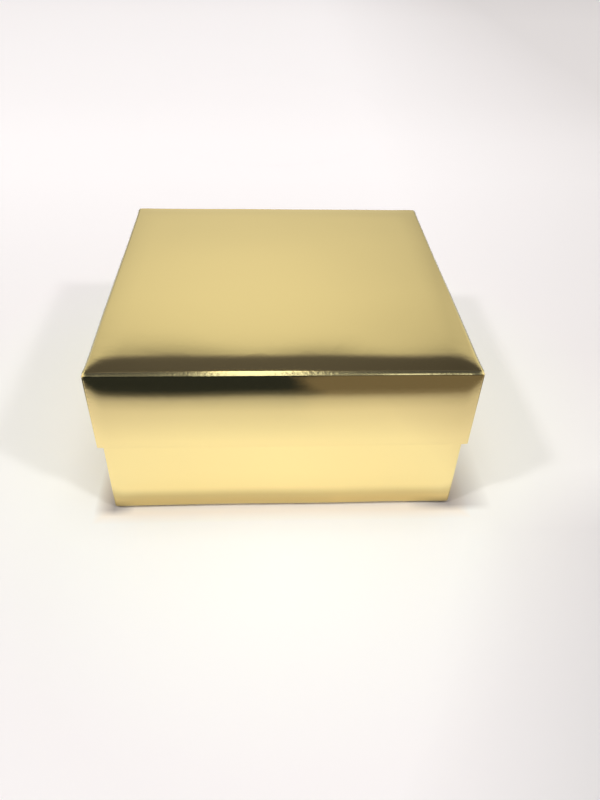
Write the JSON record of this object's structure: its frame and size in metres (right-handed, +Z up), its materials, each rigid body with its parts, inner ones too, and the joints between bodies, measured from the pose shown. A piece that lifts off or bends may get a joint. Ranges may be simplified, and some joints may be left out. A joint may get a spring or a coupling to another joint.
{
  "type": "two-piece favor box",
  "caption": "Square gold foil favor box: a wrapped greyboard tray with a telescoping lift-off lid that leaves the lower half of the tray showing.",
  "frame": {"origin": "centre of the underside, on the surface the box stands on", "axes": "+Z up, -Y towards the front of the box, +X to its right as seen from the front"},
  "size_m": [0.102, 0.102, 0.0505],
  "materials": {
    "gold_foil": "gloss",
    "greyboard": "matte",
    "stay_paper": "matte",
    "liner_paper": "matte"
  },
  "bodies": {
    "base": {"base_board": "greyboard", "base_stay_front_left": "stay_paper", "base_stay_front_right": "stay_paper", "base_stay_back_left": "stay_paper", "base_stay_back_right": "stay_paper", "base_liner": "liner_paper", "base_wrap": "gold_foil"},
    "lid": {"lid_board": "greyboard", "lid_stay_front_left": "stay_paper", "lid_stay_front_right": "stay_paper", "lid_stay_back_left": "stay_paper", "lid_stay_back_right": "stay_paper", "lid_liner": "liner_paper", "lid_wrap": "gold_foil"}
  },
  "joints": [
    {"name": "lid_lift", "type": "slide", "parent": "base", "child": "lid", "axis": [0, 0, 1], "range_m": [0, 0.06]}
  ]
}
